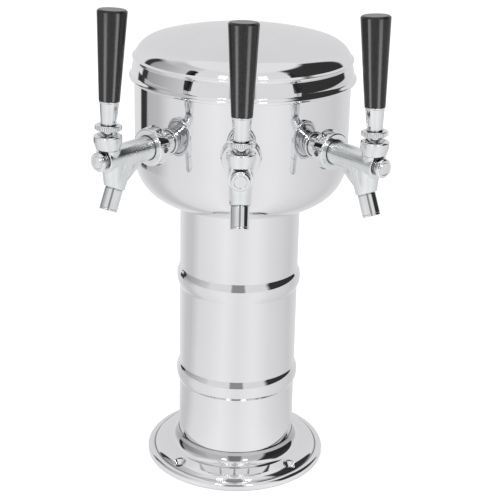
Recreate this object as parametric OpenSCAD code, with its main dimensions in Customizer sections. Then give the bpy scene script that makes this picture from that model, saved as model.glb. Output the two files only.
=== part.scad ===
// Three-faucet draft beer tower: a round column on a bolted base flange carries a wide
// drum with a lift-off lid, and three lever faucets stand out of the drum's front half.
// The origin is the centre of the base's underside, +Z is up and -Y is the front.

/* [Column] */
// Outside diameter of the column tube
column_d = 101.6; // [98:0.1:106]
// Wall of the column tube
column_wall = 1.5; // [1.2:0.1:2]
// Height of one rolled bead
bead_h = 17.5; // [14:0.5:20]
// How far a rolled bead stands proud
bead_proud = 2.5; // [1.5:0.1:3.5]
// Height of the lower bead's middle above the counter
bead_low_z = 81; // [60:1:95]
// Distance from the lower bead to the upper one
bead_pitch = 90; // [70:1:110]
// Wall of the foam sleeve inside the column
insulation_wall = 11.1; // [7:0.1:15]

/* [Base flange] */
// Width of the base flange beyond the column
flange_w = 27.6; // [26:0.1:34]
// Height of the neck round the column's foot
neck_h = 22; // [21:0.5:30]
// Wall of the neck
neck_wall = 0.9; // [0.7:0.1:1.5]
// Radius of the hollow curve at the neck's foot
neck_curve_r = 9.5; // [7:0.5:10]
// Height of the flange's top at the neck
flange_top_z = 12; // [11:0.1:14]
// Radius of the bead round the flange's rim
rim_bead_r = 3.2; // [2.8:0.1:3.8]
// Radius of the shoulder inside the rim
shoulder_r = 8; // [7:0.1:9]
// Height of that ledge above the counter
ledge_z = 5; // [4:0.1:6]
// Thickness of the gasket under the flange
gasket_t = 2.4; // [1.5:0.1:3]
// Width of the ledge that the column stands on
ledge_w = 3.3; // [2:0.1:6]
// Distance from the middle of a mounting hole to the flange's edge
bolt_edge = 9.9; // [9:0.1:11]
// Diameter of a mounting hole
bolt_hole_d = 5.5; // [4.5:0.1:6]
// Diameter of a countersink
countersink_d = 12; // [10:0.1:13]

/* [Drum] */
// Outside diameter of the drum
drum_d = 177.6; // [174:0.2:184]
// Wall of the drum
drum_wall = 1.5; // [1.2:0.1:2]
// Height of the drum's underside above the counter
drum_floor_z = 241; // [236:1:256]
// Height of the drum from its underside to its rim
drum_h = 115; // [112:1:125]
// Width of the flat ring between the drum's neck and its curved side
bowl_inset = 1.95; // [1.6:0.05:8]
// Height of the drum's neck round the column's top
drum_neck_h = 14; // [13:0.5:20]
// Wall of the ring that backs the clamp screws inside the column
collar_wall = 4; // [3:0.1:6]
// Diameter of a clamp screw
clamp_screw_d = 4; // [3:0.1:4.5]

/* [Lid] */
// How far the lid's rolled lip stands out beyond the drum
lip_overhang = 4.4; // [4.2:0.1:6]
// How far the lid's dome stands out beyond the drum
dome_overhang = 0.4; // [0:0.1:0.7]
// Height of the lid's skirt below the drum's rim
skirt_h = 11.7; // [10:0.1:13]
// Radius of the rolled lip
lip_r = 2; // [1.7:0.1:2.2]
// Height of the sloping tier above the lid's foot
tier_h = 15.2; // [14.8:0.1:15.6]
// Radius of the ridge above the tier
ridge_r = 2; // [1.7:0.1:2.1]
// Radius of the dome's shoulder
dome_shoulder_r = 17.3; // [16:0.1:19]
// Thickness of the lid's sheet
lid_wall = 1.2; // [1:0.1:1.4]

/* [Faucets] */
// Angle between neighbouring faucets
spread = 40; // [36:1:60]
// Height of the shanks above the drum's underside
shank_rise = 67; // [62:1:72]
// Diameter of a shank
shank_d = 17.4; // [15:0.1:18]
// Bore of a shank
shank_bore_d = 6.4; // [5:0.1:8]
// Length of a shank between the drum and its head
shank_reach = 13.7; // [12:0.1:24]
// Gap between a tailpiece's nut and the lock nut inside the drum
nut_gap = 1.1; // [0.5:0.1:1.6]
// Diameter of a shank's threaded head
shank_head_d = 26; // [24:0.1:27]
// Wall of a coupling nut round the shank's head
nut_wall = 3; // [2.4:0.1:5]
// Outside diameter of a faucet's barrel
barrel_d = 18.5; // [17.6:0.1:20]
// Length of a faucet's barrel
barrel_l = 52; // [51:0.1:56]
// Outside diameter of a spout
spout_d = 14; // [13:0.1:14.6]
// Bore of a spout
spout_bore_d = 10; // [9:0.1:11]
// Length of a spout below the body
spout_l = 17.7; // [12:0.1:30]
// Tilt of a spout away from upright
spout_tilt = 23.2; // [18:0.1:26]
// Diameter of a bonnet
bonnet_d = 21.6; // [21.4:0.1:24]
// Diameter of a front cap's knob
cap_d = 14.8; // [12:0.1:16]

/* [Levers] */
// Height of a lever's ball above the shank's axis
lever_arm = 12; // [11.8:0.1:12.2]
// Diameter of a lever's ball
ball_d = 12.8; // [12.6:0.1:12.9]
// Lean of a closed lever towards the tower
lean = 3.8; // [0:0.1:5]
// Diameter of the knurled collar
collar_d = 20.7; // [18:0.1:22]
// Height of the knurled collar
collar_h = 4; // [3:0.1:6]
// Length of a handle's ferrule
ferrule_l = 18; // [17:0.1:24]
// Length of a handle's grip
grip_l = 66.7; // [50:0.1:120]
// Diameter of a grip at its foot
grip_foot_d = 15.7; // [14:0.1:18]
// Diameter of a grip at its head
grip_head_d = 22.5; // [18:0.1:28]

/* [Beer lines] */
// Outside diameter of a beer line
line_d = 7.94; // [7.4:0.02:8.4]
// Bore of a beer line
line_bore_d = 4.8; // [4:0.1:5]
// Distance of a hanging beer line from the column's axis
line_place_r = 18; // [16:0.1:24]
// Height of a beer line's lower end above the counter
line_end_z = 36; // [30:1:60]
// Length of the tube below a coupler's collar
stub_l = 15; // [10:0.5:20]

/* [Hidden] */
$fn = 96;

// Clearances and the overrun that all cuts share
fit = 0.05;
loose = 0.15;
rest_gap = 0.2;
play = 0.3;
over = 0.5;

// Facets of the circle that cuts the flanges' thin backs
fine_facets = 480;

// Steps along an arc of an outline
arc_steps = 14;
long_arc_steps = 28;

// Column
column_r = column_d / 2;
column_in_r = column_r - column_wall;
bead_arc_r = (bead_h * bead_h / 4 + bead_proud * bead_proud) / (2 * bead_proud);
bead_zs = [bead_low_z, bead_low_z + bead_pitch];
column_top_z = drum_floor_z + drum_neck_h;
collar_under = 1.5;
clamp_screw_z = drum_floor_z + drum_neck_h / 2;
clamp_screw_count = 4;
clamp_head_d = 7.2;
clamp_head_h = 2;

// Base flange
flange_r = column_r + flange_w;
foot_bore_r = column_in_r - ledge_w;
neck_in_r = column_r + fit;
neck_out_r = neck_in_r + neck_wall;
rim_c_r = flange_r - rim_bead_r;
rim_c_z = 3.4;
rim_angle = 140;
shoulder_low_angle = 24;
shoulder_high_angle = 72;
crease_r = rim_c_r + rim_bead_r * cos(rim_angle);
crease_z = rim_c_z + rim_bead_r * sin(rim_angle);
shoulder_c_r = crease_r - shoulder_r * cos(shoulder_low_angle);
shoulder_c_z = crease_z - shoulder_r * sin(shoulder_low_angle);
shoulder_top_r = shoulder_c_r + shoulder_r * cos(shoulder_high_angle);
shoulder_top_z = shoulder_c_z + shoulder_r * sin(shoulder_high_angle);
neck_curve_foot_r = neck_out_r + neck_curve_r;
gasket_edge = 0.32;
gasket_r = crease_r + gasket_edge;
bolt_r = flange_r - bolt_edge;
bolt_share = (bolt_r - neck_curve_foot_r) / (shoulder_top_r - neck_curve_foot_r);
bolt_top_z = flange_top_z + (shoulder_top_z - flange_top_z) * bolt_share;
bolt_count = 4;
screw_turn = 45;

// Drum
drum_r = drum_d / 2;
drum_in_r = drum_r - drum_wall;
bowl_c_r = neck_in_r + bowl_inset;
bowl_r = drum_r - bowl_c_r;
bowl_c_z = drum_floor_z + bowl_r;
drum_rim_z = drum_floor_z + drum_h;
drum_neck_out_r = neck_in_r + drum_wall;

// Lid
lid_foot_z = drum_rim_z - skirt_h;
lid_seat_z = drum_rim_z + rest_gap;
lid_skirt_r = drum_r + play;
lid_step = 2.3;
lid_step_r = lid_skirt_r - lid_step;
lip_c_r = drum_r + lip_overhang - lip_r;
lip_c_z = lid_foot_z + lip_r;
lip_top_angle = 65;
dome_r = drum_r + dome_overhang;
tier_top_out = 0.1;
tier_top_r = dome_r + tier_top_out;
tier_top_z = lid_foot_z + tier_h;
tier_bulge = 0.45;
ridge_c_r = dome_r - ridge_r / 2;
ridge_rise = 2.3;
ridge_c_z = tier_top_z + ridge_rise;
ridge_low_angle = -55;
ridge_high_angle = 78;
dome_c_r = dome_r - dome_shoulder_r;
dome_drop = 1.44;
dome_c_z = tier_top_z - dome_drop;
crown_angle = 15;
crown_r = (dome_c_r + dome_shoulder_r * sin(crown_angle)) / sin(crown_angle);
crown_c_z = dome_c_z + dome_shoulder_r * cos(crown_angle) - crown_r * cos(crown_angle);
dome_low_angle = asin((ridge_c_z + ridge_r * sin(ridge_high_angle) - dome_c_z) / dome_shoulder_r);
dome_in_r = dome_shoulder_r - lid_wall;
dome_in_angle = acos((lid_step_r - dome_c_r) / dome_in_r);

// Along a shank: distances from the tower's axis
shank_z = drum_floor_z + shank_rise;
shank_r = shank_d / 2;
head_x = drum_r + shank_reach;
head_l = 4;
head_r = shank_head_d / 2;
face_x = head_x + head_l;
coupling_washer_t = 1;
body_x = face_x + coupling_washer_t;
body_collar_l = 3;
body_collar_x = body_x + body_collar_l;
nut_lip_t = 2;
nut_x = body_collar_x + nut_lip_t;
nut_r = head_r + nut_wall;
nut_taper = 1.6;
nut_front_r = nut_r - nut_taper;
nut_edge = 1;
nut_hole_d = 4.4;
nut_hole_depth = 1.8;
nut_hole_count = 6;
wall_flange_rim = 1.6;
wall_flange_t = 1.2;
saddle_d = 24;
saddle_t = 4.9;
saddle_x = drum_in_r - saddle_t;
lock_nut_t = 6;
lock_nut_af = 27;
tail_washer_t = 1.2;
tail_flange_t = 2;
tail_flange_d = 14.8;
tail_nut_lip = 2.5;
tail_nut_l = 11;
tail_nut_grip = tail_nut_l - tail_nut_lip - tail_flange_t - tail_washer_t;
shank_end_x = saddle_x - lock_nut_t - nut_gap - tail_nut_grip;
tail_flange_x = shank_end_x - tail_washer_t - tail_flange_t;
tail_nut_af = 25.4;
tail_stem_d = 7.4;
tail_stem_l = 6;
line_x = tail_flange_x - tail_stem_l;
barb_l = 10.3;
barb_d = 6;
barb_root_d = 5.2;
barb_bore_d = 3.8;
barb_count = 3;
barb_rise_share = 0.8;

// Faucet body
barrel_r = barrel_d / 2;
body_front_x = body_x + barrel_l;
chamber_r = 6.5;
seat_x = body_x + 10.5;
seat_r = 4.2;
seat_t = 3;
guide_r = 4.8;
lever_x = body_front_x - 5.5;
spout_back = 21.5;
spout_x = body_front_x - spout_back;
spout_r = spout_d / 2;
root_l = 25.9;
root_wall = 1;
spout_hidden = 6;
spout_way_r = 5.2;
leg_top_r = barrel_r - 0.35;
leg_front_x = body_front_x - 10;
leg_front_h = 21.5;
leg_front_foot_r = 6.9;
leg_back_x = spout_x - 17;
leg_back_drop = 3.4;
leg_back_r = 5.6;
leg_back_foot_r = 6.6;
leg_back_foot = 21;
leg_back_run = spout_x + leg_back_foot * sin(spout_tilt) - leg_back_x;
leg_back_fall = leg_back_foot * cos(spout_tilt) - leg_back_drop;
leg_back_l = sqrt(leg_back_run * leg_back_run + leg_back_fall * leg_back_fall);
leg_back_turn = 90 + atan(leg_back_fall / leg_back_run);
cap_seat_r = 5.2;
cap_seat_l = 1.9;
ball_z = shank_z + lever_arm;
ball_r = ball_d / 2;
bonnet_low = -3.6;
boss_top = 0.6;
ball_room = 0.5;
pocket_r = ball_r + ball_room;
ball_sink = 0.7;
pocket_floor = ball_sink - ball_r;
pocket_wall = 1.1;
boss_thread_r = pocket_r + pocket_wall;
boss_step = 0.7;
boss_r = boss_thread_r + boss_step;
spot_inset = 0.5;
spot_r = bonnet_d / 2 - spot_inset;
rod_way_r = 4.6;
rod_way_x = lever_x - 1.5;

// Bonnet, with heights from the ball's centre
bonnet_r = bonnet_d / 2;
bonnet_foot_step = 0.4;
bonnet_foot_r = boss_r + bonnet_foot_step;
bonnet_widest = 1.5;
bonnet_edge = 6;
bonnet_bevel = 0.7;
bonnet_top = 7.4;
bonnet_land_r = 8.2;
mouth_r = 7.6;
lip_angle = 32.5;
lip_end_angle = 10;
washer_in = 0.95;
washer_in_r = ball_r - washer_in;
washer_top = -2.8;
washer_lip = 1.05;

// Shaft
stem_r = 2.3;
stem_end_x = body_x + 5;
seat_washer_r = 5.4;
seat_washer_t = 2.6;
shaft_nut_af = 7;
shaft_nut_t = 2.4;
piston_r = guide_r - fit;
piston_x = lever_x - 5.6;
piston_end_x = body_front_x - 2.5;
journal_r = 2.8;
journal_end_x = body_front_x + 4.6;
tip_r = 2.4;
rod_r = 2;
tip_x = lever_x + lever_arm * sin(lean);
tip_play = 0.35;
tip_depth = 3.4;
window_floor = 0.6;
window_back = 2.9;
window_front = 4;

// Front cap, with lengths from the body's front
cap_r = cap_d / 2;
cap_base_r = 5.6;
cap_base_t = 1.4;
cap_neck_r = 4.3;
cap_neck_end = 2.8;
cap_knob_edge = 0.8;
cap_end = 6.6;
cap_bore_end = 5.4;

// Lever, with heights along it from the ball's centre
neck_r = 3.4;
collar_low = 10.7;
post_r = 4.7;
post_end = 28;
collar_top = collar_low + collar_h;
collar_edge = 0.65;
ferrule_top = collar_top + ferrule_l;
ferrule_foot_r = 6;
ferrule_roll = 0.6;
stud_r = 4;
stud_l = 10;
grip_top = ferrule_top + grip_l;
grip_foot_r = grip_foot_d / 2;
grip_head_r = grip_head_d / 2;
grip_bevel = 1.2;
grip_foot_bevel = 0.4;

// Beer lines
line_r = line_d / 2;
bend_x = line_x - barb_l - over;
drop_x = line_place_r;
line_bend_r = bend_x - drop_x;
coupler_collar_r = 5;
coupler_collar_h = 4;
clamp_t = 0.9;
clamp_w = 5;
clamp_ear = 2.4;

sides = [-1, 0, 1];

// Points of an arc about c, in degrees from a to b
function arc(c, r, a, b, n) =
    [for (i = [0 : n]) let (t = a + (b - a) * i / n) c + r * [cos(t), sin(t)]];

// Points of one bead on a wall, rising, where inset is the depth below the outer face
function bead(z, inset) =
    let (r = bead_arc_r - inset)
    let (half = acos((bead_arc_r - bead_proud - inset) / r))
    arc([column_r + bead_proud - bead_arc_r, z], r, -half, half, arc_steps);

function falling(points) = [for (i = [len(points) - 1 : -1 : 0]) points[i]];

// Turns an outline about the tower's axis
module turned(points) {
    rotate_extrude() polygon(points);
}

// Turns an outline about a shank's axis: an outline's second value is the distance from the tower's axis
module turned_x(points) {
    translate([0, 0, shank_z]) rotate([0, 90, 0]) rotate_extrude() polygon(points);
}

module rod_x(x0, x1, r) {
    translate([x0, 0, shank_z]) rotate([0, 90, 0]) cylinder(h = x1 - x0, r = r);
}

module ring_x(x0, x1, r, hole_r) {
    difference() {
        rod_x(x0, x1, r);
        rod_x(x0 - over, x1 + over, hole_r);
    }
}

module hex_x(x0, x1, across) {
    translate([x0, 0, shank_z]) rotate([0, 90, 0]) cylinder(h = x1 - x0, d = across / cos(30), $fn = 6);
}

// Turns the radial plane of one faucet into place
module at_faucet(side) {
    rotate([0, 0, side * spread - 90]) children();
}

module at_each_faucet() {
    for (side = sides) at_faucet(side) children();
}

module at_lever(side) {
    at_faucet(side) translate([lever_x, 0, ball_z]) rotate([0, -lean, 0]) children();
}

// Starts on the spout's axis, with +Z up along the spout
module at_spout() {
    translate([spout_x, 0, shank_z]) rotate([0, -spout_tilt, 0]) children();
}

// Repeats its children round the tower's axis, the first one turned by the screws' turn
module around(count) {
    for (i = [0 : count - 1]) rotate([0, 0, screw_turn + i * 360 / count]) children();
}

module at_bolts() {
    around(bolt_count) translate([bolt_r, 0, 0]) children();
}

module at_clamp_screws() {
    around(clamp_screw_count) translate([0, 0, clamp_screw_z]) rotate([0, 90, 0]) children();
}

// A turned metal flange with a thin neck, a hollow curve, a shoulder and a beaded rim
module base_flange() {
    outline = concat(
        [[foot_bore_r, gasket_t], [gasket_r, gasket_t], [gasket_r, 0], [flange_r, 0]],
        arc([rim_c_r, rim_c_z], rim_bead_r, 0, rim_angle, arc_steps),
        arc([shoulder_c_r, shoulder_c_z], shoulder_r, shoulder_low_angle, shoulder_high_angle, arc_steps),
        arc([neck_curve_foot_r, flange_top_z + neck_curve_r], neck_curve_r, 270, 180, arc_steps),
        [[neck_out_r, neck_h], [neck_in_r, neck_h], [neck_in_r, ledge_z], [foot_bore_r, ledge_z]]
    );
    sink = (countersink_d - bolt_hole_d) / 2;
    color("silver") difference() {
        turned(outline);
        at_bolts() cylinder(h = flange_top_z + over, d = bolt_hole_d);
        at_bolts() translate([0, 0, bolt_top_z - sink])
            cylinder(h = sink, d1 = bolt_hole_d, d2 = countersink_d);
        at_bolts() translate([0, 0, bolt_top_z]) cylinder(h = neck_h, d = countersink_d);
    }
}

module base_gasket() {
    color("dimgray") difference() {
        cylinder(h = gasket_t, r = gasket_r - fit);
        translate([0, 0, -over]) cylinder(h = gasket_t + 2 * over, r = foot_bore_r);
        at_bolts() translate([0, 0, -over]) cylinder(h = gasket_t + 2 * over, d = bolt_hole_d);
    }
}

// A thin tube with two beads rolled out of its wall
module column_tube() {
    outline = concat(
        [[column_in_r, ledge_z], [column_r, ledge_z]],
        [for (z = bead_zs) each bead(z, 0)],
        [[column_r, column_top_z], [column_in_r, column_top_z]],
        [for (i = [len(bead_zs) - 1 : -1 : 0]) each falling(bead(bead_zs[i], column_wall))]
    );
    color("gainsboro") difference() {
        turned(outline);
        at_clamp_screws() cylinder(h = column_d, d = clamp_screw_d + rest_gap);
    }
}

module column_insulation() {
    top = drum_floor_z - collar_under - rest_gap;
    outer_r = column_in_r - rest_gap;
    color("dimgray") translate([0, 0, ledge_z]) difference() {
        cylinder(h = top - ledge_z, r = outer_r);
        translate([0, 0, -over]) cylinder(h = top, r = outer_r - insulation_wall);
    }
}

// Backs the clamp screws inside the column's top
module column_collar() {
    low = drum_floor_z - collar_under;
    color("gray") difference() {
        translate([0, 0, low]) cylinder(h = column_top_z - low, r = column_in_r - fit);
        translate([0, 0, low - over])
            cylinder(h = column_top_z - low + 2 * over, r = column_in_r - fit - collar_wall);
        at_clamp_screws() cylinder(h = column_d, d = clamp_screw_d + fit);
    }
}

module clamp_screws() {
    screw_end_r = column_in_r - fit - collar_wall;
    color("gray") at_clamp_screws() {
        translate([0, 0, screw_end_r]) cylinder(h = drum_neck_out_r - screw_end_r, d = clamp_screw_d);
        translate([0, 0, drum_neck_out_r]) cylinder(h = clamp_head_h, d = clamp_head_d);
    }
}

// A spun drum with an open top and a neck that slips over the column
module drum_bowl() {
    outline = concat(
        [[neck_in_r, drum_floor_z]],
        arc([bowl_c_r, bowl_c_z], bowl_r, -90, 0, long_arc_steps),
        [[drum_r, drum_rim_z], [drum_in_r, drum_rim_z]],
        arc([bowl_c_r, bowl_c_z], bowl_r - drum_wall, 0, -90, long_arc_steps),
        [[drum_neck_out_r, drum_floor_z + drum_wall], [drum_neck_out_r, column_top_z]],
        [[neck_in_r, column_top_z]]
    );
    color("gainsboro") difference() {
        turned(outline);
        at_each_faucet() rod_x(saddle_x, drum_r + over, shank_r + loose);
        at_clamp_screws() cylinder(h = drum_neck_out_r + over, d = clamp_screw_d + rest_gap);
    }
}

// A spun lid: rolled lip, sloping tier, ridge, rounded shoulder and a low crown
module lid() {
    tier_low = [lip_c_r, lip_c_z] + lip_r * [cos(lip_top_angle), sin(lip_top_angle)];
    tier_high = [tier_top_r, tier_top_z];
    tier = [for (i = [1 : arc_steps]) let (s = i / arc_steps)
        tier_low + (tier_high - tier_low) * s + [tier_bulge * sin(180 * s), 0]];
    outline = concat(
        [[lid_skirt_r, lid_foot_z]],
        arc([lip_c_r, lip_c_z], lip_r, -90, lip_top_angle, arc_steps),
        tier,
        arc([ridge_c_r, ridge_c_z], ridge_r, ridge_low_angle, ridge_high_angle, arc_steps),
        arc([dome_c_r, dome_c_z], dome_shoulder_r, dome_low_angle, 90 - crown_angle, arc_steps),
        arc([0, crown_c_z], crown_r, 90 - crown_angle, 90, long_arc_steps),
        arc([0, crown_c_z], crown_r - lid_wall, 90, 90 - crown_angle, long_arc_steps),
        arc([dome_c_r, dome_c_z], dome_in_r, 90 - crown_angle, dome_in_angle, arc_steps),
        [[lid_step_r, lid_seat_z], [lid_skirt_r, lid_seat_z]]
    );
    color("whitesmoke") turned(outline);
}

// Round covers whose backs follow the drum
module wall_flanges() {
    color("silver") difference() {
        at_each_faucet() ring_x(drum_in_r, drum_r + wall_flange_t, shank_r + wall_flange_rim, shank_r + fit);
        translate([0, 0, drum_floor_z]) cylinder(h = drum_h, r = drum_r + fit, $fn = fine_facets);
    }
}

// Washers inside the drum whose fronts follow its wall
module saddle_washers() {
    color("gray") intersection() {
        at_each_faucet() ring_x(saddle_x, drum_r, saddle_d / 2, shank_r + fit);
        translate([0, 0, drum_floor_z]) cylinder(h = drum_h, r = drum_in_r - fit);
    }
}

module shank_lock_nuts() {
    color("gold") at_each_faucet() difference() {
        hex_x(saddle_x - lock_nut_t, saddle_x, lock_nut_af);
        rod_x(saddle_x - lock_nut_t - over, saddle_x + over, shank_r + fit);
    }
}

module coupling_washers() {
    color("black") at_each_faucet() ring_x(face_x, body_x, head_r - rest_gap, chamber_r + loose);
}

// Cups under the balls of the levers
module ball_washers() {
    cup_r = ball_r * cos(asin(washer_top / ball_r)) + play;
    outline = [
        [washer_in_r, pocket_floor], [pocket_r - fit, pocket_floor], [pocket_r - fit, washer_top],
        [cup_r, washer_top], [washer_in_r, washer_top - washer_lip]
    ];
    color("black") at_each_faucet() translate([lever_x, 0, ball_z]) turned(outline);
}

// Barbed tubes that the tail nuts hold to the shanks
module tailpieces() {
    pitch = barb_l / barb_count;
    barbs = [for (i = [0 : barb_count - 1]) let (x = line_x - barb_l + i * pitch) each
        [[barb_root_d / 2, x], [barb_d / 2, x + barb_rise_share * pitch]]];
    outline = concat(
        [[barb_bore_d / 2, line_x - barb_l]],
        barbs,
        [[barb_root_d / 2, line_x], [tail_stem_d / 2, line_x], [tail_stem_d / 2, tail_flange_x]],
        [[tail_flange_d / 2, tail_flange_x], [tail_flange_d / 2, tail_flange_x + tail_flange_t]],
        [[barb_bore_d / 2, tail_flange_x + tail_flange_t]]
    );
    color("silver") at_each_faucet() turned_x(outline);
}

module tail_washers() {
    color("black") at_each_faucet()
        ring_x(tail_flange_x + tail_flange_t, shank_end_x, tail_flange_d / 2, shank_bore_d / 2);
}

module tailpiece_nuts() {
    low = tail_flange_x - tail_nut_lip;
    color("gold") at_each_faucet() difference() {
        hex_x(low, low + tail_nut_l, tail_nut_af);
        rod_x(low - over, tail_flange_x + over, tail_stem_d / 2 + loose);
        rod_x(tail_flange_x, low + tail_nut_l + over, shank_r + fit);
    }
}

module clamp_band() {
    difference() {
        union() {
            cylinder(h = clamp_w, r = line_r + fit + clamp_t);
            translate([0, -clamp_ear / 2, 0]) cube([line_r + clamp_t + clamp_ear, clamp_ear, clamp_w]);
        }
        translate([0, 0, -over]) cylinder(h = clamp_w + 2 * over, r = line_r + fit);
    }
}

// Pinched bands over both ends of the beer lines
module hose_clamps() {
    color("silver") at_each_faucet() {
        translate([line_x - barb_l / 2 - clamp_w / 2, 0, shank_z]) rotate([0, 90, 0]) clamp_band();
        translate([drop_x, 0, line_end_z + barb_l / 2 - clamp_w / 2]) clamp_band();
    }
}

// Barbed couplers at the lines' lower ends, each with a plain tube below its collar
module line_couplers() {
    pitch = barb_l / barb_count;
    barbs = [for (i = [0 : barb_count - 1]) let (z = line_end_z + (i + 1) * pitch) each
        [[barb_d / 2, z - barb_rise_share * pitch], [barb_root_d / 2, z]]];
    collar_z = line_end_z - coupler_collar_h;
    outline = concat(
        [[barb_bore_d / 2, collar_z - stub_l], [line_r, collar_z - stub_l]],
        [[line_r, collar_z], [coupler_collar_r, collar_z]],
        [[coupler_collar_r, line_end_z], [barb_root_d / 2, line_end_z]],
        barbs,
        [[barb_bore_d / 2, line_end_z + barb_l]]
    );
    color("silver") at_each_faucet() translate([drop_x, 0, 0]) turned(outline);
}

module shank(side) {
    outline = [
        [shank_bore_d / 2, shank_end_x], [shank_r, shank_end_x], [shank_r, head_x],
        [head_r, head_x], [head_r, face_x], [shank_bore_d / 2, face_x]
    ];
    color("silver") at_faucet(side) turned_x(outline);
}

// A round nut with wrench holes, which draws the faucet's collar against the shank's head
module coupling_nut(side) {
    outline = [
        [head_r + fit, head_x - play], [nut_r - nut_edge, head_x - play], [nut_r, head_x - play + nut_edge],
        [nut_front_r, nut_x - nut_edge], [nut_front_r - nut_edge, nut_x], [barrel_r + loose, nut_x],
        [barrel_r + loose, body_collar_x], [head_r + fit, body_collar_x]
    ];
    color("silver") at_faucet(side) difference() {
        turned_x(outline);
        for (i = [0 : nut_hole_count - 1])
            translate([(head_x + nut_x) / 2, 0, shank_z]) rotate([(i + 0.5) * 360 / nut_hole_count, 0, 0])
                translate([0, 0, nut_r - nut_hole_depth]) cylinder(h = nut_hole_depth + over, d = nut_hole_d);
    }
}

// Three cones below the barrel, cut off square to the spout
module leg() {
    difference() {
        union() {
            at_spout() translate([0, 0, -root_l])
                cylinder(h = root_l, r1 = spout_r + root_wall, r2 = leg_top_r);
            translate([leg_front_x, 0, shank_z - leg_front_h])
                cylinder(h = leg_front_h, r1 = leg_front_foot_r, r2 = leg_top_r);
            translate([leg_back_x, 0, shank_z - leg_back_drop]) rotate([0, leg_back_turn, 0])
                cylinder(h = leg_back_l, r1 = leg_back_r, r2 = leg_back_foot_r);
        }
        at_spout() translate([0, 0, -root_l - leg_front_h]) cylinder(h = leg_front_h, r = leg_front_h);
    }
}

// A cast body: barrel, rear collar, threaded boss on a spot face, and the leg that holds the spout
module faucet_body(side) {
    color("silver") at_faucet(side) difference() {
        union() {
            difference() {
                rod_x(body_x, body_front_x, barrel_r);
                translate([lever_x, 0, ball_z + bonnet_low]) cylinder(h = lever_arm, r = spot_r);
            }
            rod_x(body_x, body_collar_x, head_r - rest_gap);
            translate([lever_x, 0, shank_z]) cylinder(h = lever_arm + bonnet_low, r = boss_r);
            translate([lever_x, 0, shank_z]) cylinder(h = lever_arm + boss_top, r = boss_thread_r);
            leg();
        }
        translate([body_front_x, -spot_r, shank_z]) cube([spot_r, 2 * spot_r, lever_arm + bonnet_low]);
        rod_x(body_x - over, seat_x, chamber_r);
        rod_x(seat_x - over, seat_x + seat_t + over, seat_r);
        rod_x(seat_x + seat_t, body_front_x + over, guide_r);
        rod_x(body_front_x - cap_seat_l, body_front_x + over, cap_seat_r + fit);
        translate([rod_way_x, 0, shank_z]) cylinder(h = lever_arm, r = rod_way_r);
        translate([lever_x, 0, ball_z + pocket_floor]) cylinder(h = lever_arm, r = pocket_r);
        at_spout() translate([0, 0, -root_l]) cylinder(h = root_l - spout_way_r / 2, r = spout_way_r);
        at_spout() translate([0, 0, -root_l - over]) cylinder(h = spout_hidden + over, r = spout_r + fit);
    }
}

// A polished tube pressed into the body's leg
module spout(side) {
    color("silver") at_faucet(side) at_spout() translate([0, 0, -root_l - spout_l]) difference() {
        cylinder(h = spout_l + spout_hidden, r = spout_r);
        translate([0, 0, -over]) cylinder(h = spout_l + spout_hidden + 2 * over, d = spout_bore_d);
    }
}

// A screwed cap whose inner lip holds the lever's ball down
module bonnet(side) {
    outline = concat(
        [[boss_thread_r + fit, bonnet_low], [bonnet_foot_r, bonnet_low], [bonnet_r, bonnet_widest]],
        [[bonnet_r, bonnet_edge], [bonnet_r - bonnet_bevel, bonnet_edge + bonnet_bevel]],
        [[bonnet_land_r, bonnet_top], [mouth_r, bonnet_top]],
        arc([0, 0], ball_r + play, lip_angle, lip_end_angle, arc_steps),
        [[boss_thread_r + fit, (ball_r + play) * sin(lip_end_angle)]]
    );
    color("silver") at_faucet(side) translate([lever_x, 0, ball_z]) turned(outline);
}

// A turned knob that closes the barrel and guides the shaft's front end
module front_cap(side) {
    outline = [
        [journal_r + fit, body_front_x - cap_seat_l], [cap_seat_r, body_front_x - cap_seat_l],
        [cap_seat_r, body_front_x], [cap_base_r, body_front_x], [cap_base_r, body_front_x + cap_base_t],
        [cap_neck_r, body_front_x + cap_base_t], [cap_neck_r, body_front_x + cap_neck_end],
        [cap_r - cap_knob_edge, body_front_x + cap_neck_end],
        [cap_r, body_front_x + cap_neck_end + cap_knob_edge],
        [cap_r, body_front_x + cap_end - cap_knob_edge], [cap_r - cap_knob_edge, body_front_x + cap_end],
        [0, body_front_x + cap_end], [0, body_front_x + cap_bore_end],
        [journal_r + fit, body_front_x + cap_bore_end]
    ];
    color("silver") at_faucet(side) turned_x(outline);
}

// A sliding valve rod: thin stem, piston with a window for the lever's tip, front journal
module shaft(side) {
    outline = [
        [0, stem_end_x], [stem_r, stem_end_x], [stem_r, piston_x], [piston_r, piston_x],
        [piston_r, piston_end_x], [journal_r, piston_end_x], [journal_r, journal_end_x], [0, journal_end_x]
    ];
    color("gray") at_faucet(side) difference() {
        turned_x(outline);
        translate([tip_x - window_back, -guide_r, shank_z + window_floor])
            cube([window_back + window_front, 2 * guide_r, guide_r]);
        translate([tip_x - tip_r - tip_play, -tip_r - fit, shank_z - tip_depth])
            cube([2 * (tip_r + tip_play), 2 * (tip_r + fit), tip_depth + guide_r]);
    }
}

module seat_washer(side) {
    color("black") at_faucet(side) ring_x(seat_x - seat_washer_t, seat_x, seat_washer_r, stem_r + fit);
}

module shaft_nut(side) {
    nut_front = seat_x - seat_washer_t;
    color("gray") at_faucet(side) difference() {
        hex_x(nut_front - shaft_nut_t, nut_front, shaft_nut_af);
        rod_x(nut_front - shaft_nut_t - over, nut_front + over, stem_r + fit);
    }
}

// A ball with a tip that works the shaft and a threaded post for the handle
module lever(side) {
    color("silver") at_lever(side) {
        sphere(r = ball_r);
        translate([0, 0, -lever_arm]) sphere(r = tip_r);
        translate([0, 0, -lever_arm]) cylinder(h = lever_arm, r = rod_r);
        cylinder(h = collar_low, r = neck_r);
        translate([0, 0, collar_low]) cylinder(h = post_end - collar_low, r = post_r);
    }
}

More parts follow.
